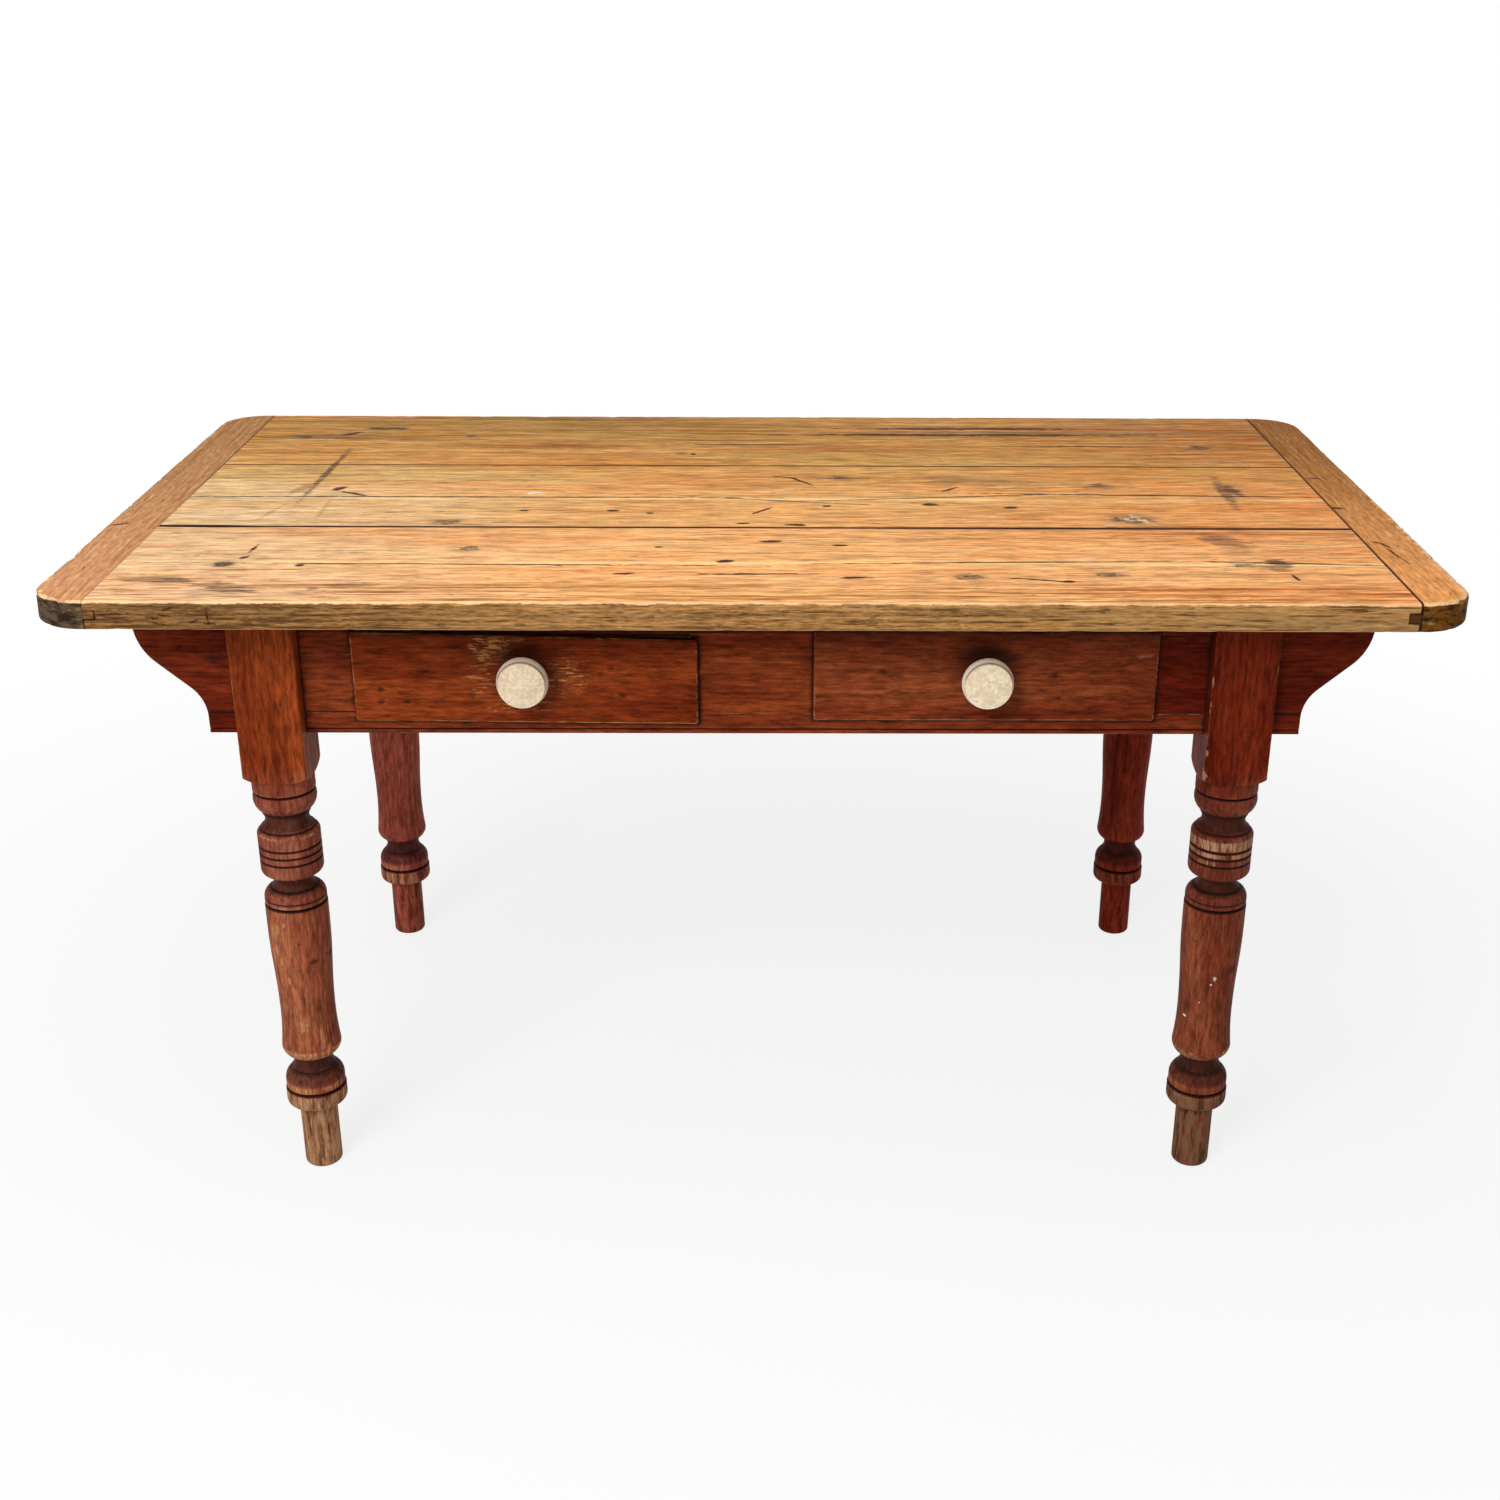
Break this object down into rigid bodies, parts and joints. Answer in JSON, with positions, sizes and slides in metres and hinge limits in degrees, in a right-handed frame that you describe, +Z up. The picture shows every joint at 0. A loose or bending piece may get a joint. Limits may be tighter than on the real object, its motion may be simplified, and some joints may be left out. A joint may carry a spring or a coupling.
{
  "type": "kitchen table with drawers",
  "caption": "Long farmhouse kitchen table with a plank top, turned legs, scrolled end brackets and shallow drawers side by side under the front edge.",
  "frame": {"origin": "on the floor under the middle of the table", "axes": "+X along the table to the right seen from the drawers, +Y to the back, +Z up; the drawers face -Y"},
  "size_m": [1.516, 0.854, 0.762],
  "materials": {
    "scrubbed_pine": "worn, waxed pine planks",
    "end_pine": "worn, darker pine across the ends of the top",
    "stained_pine": "red-brown stained pine, worn through at the edges",
    "raw_pine": "bare, aged pine",
    "ceramic": "cream glaze, slightly mottled",
    "steel": "dull steel"
  },
  "bodies": {
    "table": {"top_board_front": "scrubbed_pine", "top_board_middle": "scrubbed_pine", "top_board_back": "scrubbed_pine", "top_end_left": "end_pine", "top_end_right": "end_pine", "top_screws": "steel", "leg_front_left": "stained_pine", "leg_front_right": "stained_pine", "leg_back_left": "stained_pine", "leg_back_right": "stained_pine", "bracket_front_left": "stained_pine", "bracket_front_right": "stained_pine", "bracket_back_left": "stained_pine", "bracket_back_right": "stained_pine", "bracket_dowels": "raw_pine", "front_bottom_rail": "stained_pine", "front_top_rail": "stained_pine", "front_stile_left": "stained_pine", "front_stile_centre": "stained_pine", "front_stile_right": "stained_pine", "back_apron": "stained_pine", "side_apron_left": "stained_pine", "side_apron_right": "stained_pine", "guide_screws": "steel", "runner_left_outer": "raw_pine", "runner_left_inner": "raw_pine", "runner_right_outer": "raw_pine", "runner_right_inner": "raw_pine", "guide_left_outer": "raw_pine", "guide_left_inner": "raw_pine", "guide_right_outer": "raw_pine", "guide_right_inner": "raw_pine", "kicker_left_outer": "raw_pine", "kicker_left_inner": "raw_pine", "kicker_right_outer": "raw_pine", "kicker_right_inner": "raw_pine"},
    "left_drawer": {"drawer_left_front": "stained_pine", "drawer_left_side_left": "raw_pine", "drawer_left_side_right": "raw_pine", "drawer_left_back": "raw_pine", "drawer_left_bottom": "raw_pine", "drawer_left_nails": "steel", "knob_left": "ceramic", "knob_bolt_left": "steel", "knob_washer_left": "steel", "knob_nut_left": "steel"},
    "right_drawer": {"drawer_right_front": "stained_pine", "drawer_right_side_left": "raw_pine", "drawer_right_side_right": "raw_pine", "drawer_right_back": "raw_pine", "drawer_right_bottom": "raw_pine", "drawer_right_nails": "steel", "knob_right": "ceramic", "knob_bolt_right": "steel", "knob_washer_right": "steel", "knob_nut_right": "steel"}
  },
  "joints": [
    {"name": "left_drawer_slide", "type": "slide", "parent": "table", "child": "left_drawer", "axis": [0, -1, 0], "range_m": [0, 0.36]},
    {"name": "right_drawer_slide", "type": "slide", "parent": "table", "child": "right_drawer", "axis": [0, -1, 0], "range_m": [0, 0.36]}
  ]
}
